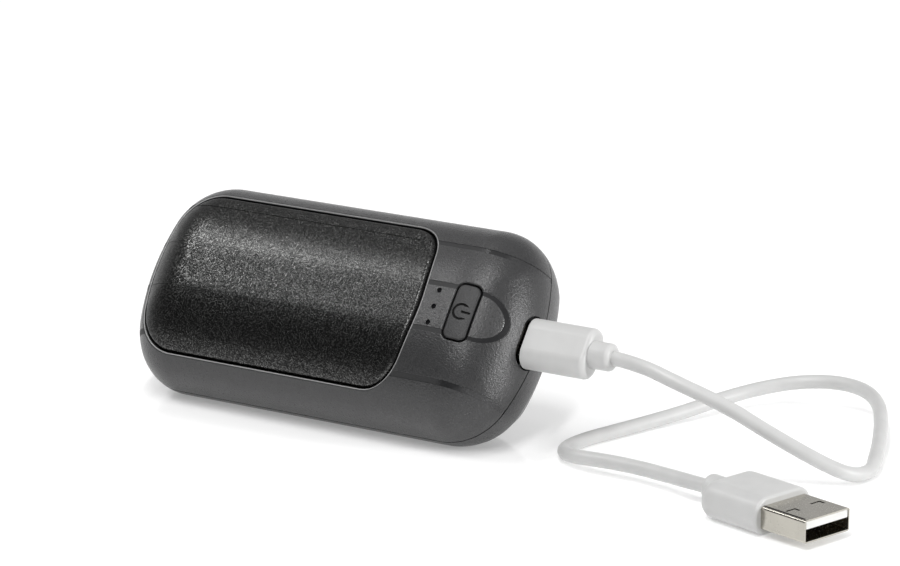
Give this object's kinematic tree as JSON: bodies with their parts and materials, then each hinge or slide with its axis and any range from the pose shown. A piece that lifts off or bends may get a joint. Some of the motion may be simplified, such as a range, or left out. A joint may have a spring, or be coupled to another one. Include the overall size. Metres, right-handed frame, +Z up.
{
  "type": "rechargeable hand warmer",
  "caption": "Rounded pocket hand warmer with a metal heat panel, a power button, indicator dots and a charging port, with its white charging lead plugged in.",
  "frame": {"origin": "on the table, under the middle of the casing's box", "axes": "+X along the casing towards the charging port, +Z up, -Y towards the side that the heat panel faces; the casing leans back on a flat flank"},
  "size_m": [0.1703, 0.0848, 0.0402],
  "materials": {
    "casing_plastic": "fine satin texture",
    "button_plastic": "fine satin texture",
    "panel_metal": "sandblasted, dark anodised",
    "smoked_lens": "smoked clear",
    "lead_white": "soft satin",
    "connector_metal": "nickel plated",
    "black_plastic": "moulded",
    "contact_gold": "plated",
    "heater_polyimide": "film",
    "pad_foam": "closed cell",
    "cell_pouch": "satin pouch",
    "tray_plastic": "moulded",
    "tab_nickel": "plain",
    "board_laminate": "solder mask",
    "screw_steel": "plain",
    "inductor_ferrite": "pressed powder",
    "capacitor_ceramic": "fired",
    "led_white": "moulded"
  },
  "bodies": {
    "casing": {"front_shell": "casing_plastic", "back_shell": "casing_plastic", "heat_panel": "panel_metal", "heater_film": "heater_polyimide", "insulation_pad": "pad_foam", "battery_cell": "cell_pouch", "battery_tray": "tray_plastic", "battery_tab_positive": "tab_nickel", "battery_tab_negative": "tab_nickel", "main_board": "board_laminate", "port_board": "board_laminate", "board_header": "black_plastic", "main_board_screws": "screw_steel", "port_board_screws": "screw_steel", "controller_chip": "black_plastic", "charger_chip": "black_plastic", "power_inductor": "inductor_ferrite", "board_capacitors": "capacitor_ceramic", "indicator_led_1": "led_white", "indicator_led_2": "led_white", "indicator_led_3": "led_white", "light_pipe": "smoked_lens", "switch_body": "black_plastic", "usb_c_socket": "connector_metal", "usb_c_tongue": "black_plastic"},
    "power_button": {"button_cap": "button_plastic", "switch_plunger": "black_plastic"},
    "charging_lead": {"usb_c_plug_shell": "connector_metal", "usb_c_overmould": "lead_white", "charging_cord": "lead_white", "usb_a_overmould": "lead_white", "usb_a_insulator": "black_plastic", "usb_a_shell": "connector_metal", "usb_a_contacts": "contact_gold"}
  },
  "joints": [
    {"name": "button_press", "type": "slide", "parent": "casing", "child": "power_button", "axis": [0, 0.788, -0.6157], "range_m": [0, 0.0004], "stiffness_N_per_m": 400},
    {"name": "lead_unplug", "type": "slide", "parent": "casing", "child": "charging_lead", "axis": [1, 0, 0], "range_m": [0, 0.012]}
  ]
}
